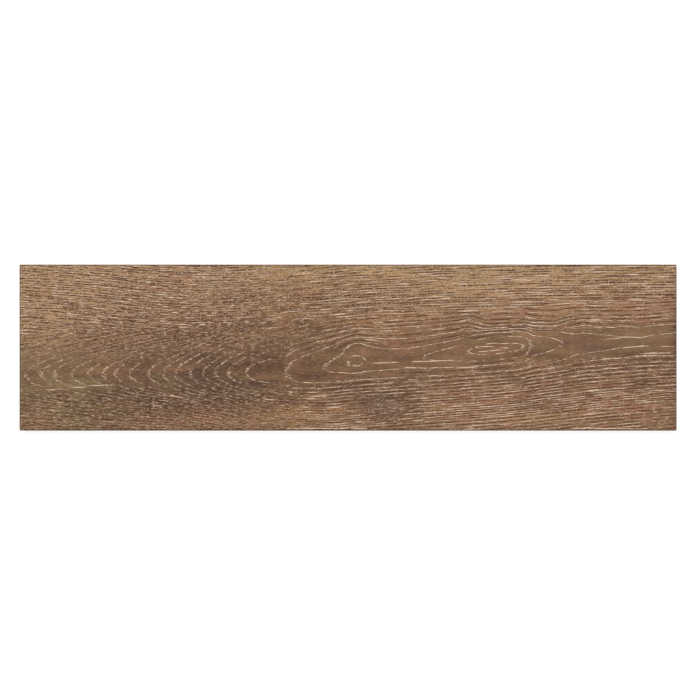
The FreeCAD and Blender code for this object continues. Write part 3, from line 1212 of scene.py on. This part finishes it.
def body_material(colours):
    """Matt fired porcelain with specks, and pale kiln wash on what bears on the kiln's rollers."""
    recipe = Recipe("fired_porcelain_body")
    place = recipe.place()
    grain = recipe.grain_noise(place, 1.4, 1.4, seed=6.0, detail=3.0)
    cloud = recipe.grain_noise(place, 30.0, 30.0, seed=7.0)
    pale = tuple(colours.body)
    deep = tuple(value * 0.72 for value in pale)
    speckled = tuple(value * 0.5 for value in pale)
    clay = recipe.blend(recipe.fade(grain, -0.2, 0.2), deep, pale)
    clay = recipe.blend(recipe.fade(cloud, -0.15, 0.25, 0.0, 0.25), clay, deep)
    specks = recipe.node("ShaderNodeTexVoronoi", {"Vector": place, "Scale": 0.6})
    speck = recipe.fade(specks.outputs["Distance"], 0.28, 0.16, 0.0, 0.5)
    clay = recipe.blend(speck, clay, speckled)
    patchy = recipe.fade(recipe.grain_noise(place, 5.0, 5.0, seed=8.0), -0.15, 0.1)
    washed = recipe.times(recipe.fade(recipe.part(place, "Z"), 0.3, 0.05), patchy, 0.8)
    clay = recipe.blend(washed, clay, colours.wash)
    recipe.feed(recipe.shader.inputs["Base Color"], clay)
    recipe.feed(recipe.shader.inputs["Roughness"], 0.85)
    recipe.bump(grain, 0.1 * MM, 0.5)
    return recipe.material


# Stage

def table_material():
    """White table that keeps the plank's shadow and looks white to the camera."""
    recipe = Recipe("white_table")
    shader = recipe.shader
    recipe.feed(shader.inputs["Base Color"], TABLE_WHITE)
    recipe.feed(shader.inputs["Roughness"], 0.9)
    recipe.feed(shader.inputs["Specular IOR Level"], 0.1)
    recipe.feed(shader.inputs["Emission Color"], (1.0, 1.0, 1.0, 1.0))
    path = recipe.tree.nodes.new("ShaderNodeLightPath")
    seen = recipe.greater(path.outputs["Is Camera Ray"], path.outputs["Is Glossy Ray"])
    recipe.feed(shader.inputs["Emission Strength"], recipe.times(seen, TABLE_GLOW))
    return recipe.material


def lay_table(settings, sizes):
    """The table's top, level with the plank's back and open under it."""
    # The opening lies wholly under the plank, so only a look from below meets it
    reach = settings.table_size / 2
    edge_x = sizes.length / 2 - sizes.draft_inset - TABLE_LIP
    edge_y = sizes.width / 2 - sizes.draft_inset - TABLE_LIP
    bm = bmesh.new()
    bmesh.ops.create_grid(bm, x_segments=3, y_segments=3, size=reach)
    for vert in bm.verts:
        if abs(vert.co.x) < reach - TINY:
            vert.co.x = math.copysign(edge_x, vert.co.x)
        if abs(vert.co.y) < reach - TINY:
            vert.co.y = math.copysign(edge_y, vert.co.y)
    middle = min(bm.faces, key=lambda face: face.calc_center_median().length)
    bmesh.ops.delete(bm, geom=[middle], context="FACES_ONLY")
    mesh = bpy.data.meshes.new("studio_table")
    bm.to_mesh(mesh)
    bm.free()
    mesh.materials.append(table_material())
    table = bpy.data.objects.new("studio_table", mesh)
    bpy.context.scene.collection.objects.link(table)


def light_studio(settings):
    """One broad soft lamp over the far side and an even pale surround."""
    lamp = bpy.data.lights.new("key_lamp", "SUN")
    lamp.energy = settings.key_strength
    lamp.angle = KEY_SPREAD
    key = bpy.data.objects.new("key_lamp", lamp)
    key.rotation_euler = KEY_TURN
    bpy.context.scene.collection.objects.link(key)
    world = bpy.data.worlds.new("studio_surround")
    world.use_nodes = True
    tree = world.node_tree
    background = tree.nodes["Background"]
    path = tree.nodes.new("ShaderNodeLightPath")
    seen = path.outputs["Is Camera Ray"]
    for ray in ("Is Glossy Ray", "Is Transmission Ray"):
        either = tree.nodes.new("ShaderNodeMath")
        either.operation = "MAXIMUM"
        tree.links.new(seen, either.inputs[0])
        tree.links.new(path.outputs[ray], either.inputs[1])
        seen = either.outputs[0]
    strength = tree.nodes.new("ShaderNodeMapRange")
    strength.inputs["To Min"].default_value = settings.fill_strength
    strength.inputs["To Max"].default_value = 1.0
    tree.links.new(seen, strength.inputs["Value"])
    tree.links.new(strength.outputs["Result"], background.inputs["Strength"])
    background.inputs["Color"].default_value = (1.0, 1.0, 1.0, 1.0)
    bpy.context.scene.world = world


def set_camera(settings):
    """Camera straight above the face, far enough that the flanks stay hidden."""
    data = bpy.data.cameras.new("studio_camera")
    data.lens = settings.lens
    distance = settings.view_width * data.lens / data.sensor_width
    camera = bpy.data.objects.new("studio_camera", data)
    camera.location = (0, CAMERA_SHIFT, HIGH.z + distance)
    bpy.context.scene.collection.objects.link(camera)
    bpy.context.scene.camera = camera
    bpy.context.scene.view_settings.view_transform = "Standard"


# Operators and panel

class PLANK_OT_press_tile(bpy.types.Operator):
    """Press, glaze and fire the plank, and let it stand for the construction model's tile"""

    bl_idname = "plank.press_tile"
    bl_label = "Press Plank Tile"

    def execute(self, context):
        sizes = context.scene.plank_sizes
        colours = context.scene.plank_colours
        mesh = plank_mesh(sizes)
        unfold(mesh, sizes)
        draw_figure(mesh, sizes)
        mesh.materials.append(glaze_material(colours))
        mesh.materials.append(body_material(colours))
        tile = bpy.data.objects.new(TILE_NAME, mesh)
        context.scene.collection.objects.link(tile)
        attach(tile, "root")
        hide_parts(CAD_NODE)
        return {"FINISHED"}


class PLANK_OT_set_studio(bpy.types.Operator):
    """Lay the white table, hang the lamps and set the camera above the face"""

    bl_idname = "plank.set_studio"
    bl_label = "Set Studio"

    def execute(self, context):
        settings = context.scene.plank_studio
        lay_table(settings, context.scene.plank_sizes)
        light_studio(settings)
        set_camera(settings)
        return {"FINISHED"}


class PLANK_PT_sidebar(bpy.types.Panel):
    """Lists the plank's operators with their sizes and colours"""

    bl_idname = "PLANK_PT_sidebar"
    bl_label = "Plank Tile"
    bl_space_type = "VIEW_3D"
    bl_region_type = "UI"
    bl_category = "Plank Tile"

    def draw(self, context):
        layout = self.layout
        groups = ((PLANK_OT_press_tile, ("plank_sizes", "plank_colours")),
                  (PLANK_OT_set_studio, ("plank_studio",)))
        for operator, names in groups:
            box = layout.box()
            for name in names:
                settings = getattr(context.scene, name)
                # The first two properties are Blender's own
                for value in settings.bl_rna.properties.keys()[2:]:
                    box.prop(settings, value)
            box.operator(operator.bl_idname)


CLASSES = (PlankSizes, PlankColours, StudioSettings, PLANK_OT_press_tile, PLANK_OT_set_studio,
           PLANK_PT_sidebar)


def register():
    """Registers the classes and gives the scene their settings."""
    for cls in CLASSES:
        bpy.utils.register_class(cls)
    bpy.types.Scene.plank_sizes = PointerProperty(type=PlankSizes)
    bpy.types.Scene.plank_colours = PointerProperty(type=PlankColours)
    bpy.types.Scene.plank_studio = PointerProperty(type=StudioSettings)


def unregister():
    """Takes the settings and the classes away again."""
    del bpy.types.Scene.plank_studio
    del bpy.types.Scene.plank_colours
    del bpy.types.Scene.plank_sizes
    for cls in reversed(CLASSES):
        bpy.utils.unregister_class(cls)


def main():
    """Builds the plank and the studio."""
    register()
    bpy.ops.plank.press_tile()
    bpy.ops.plank.set_studio()


if __name__ == "__main__":
    main()
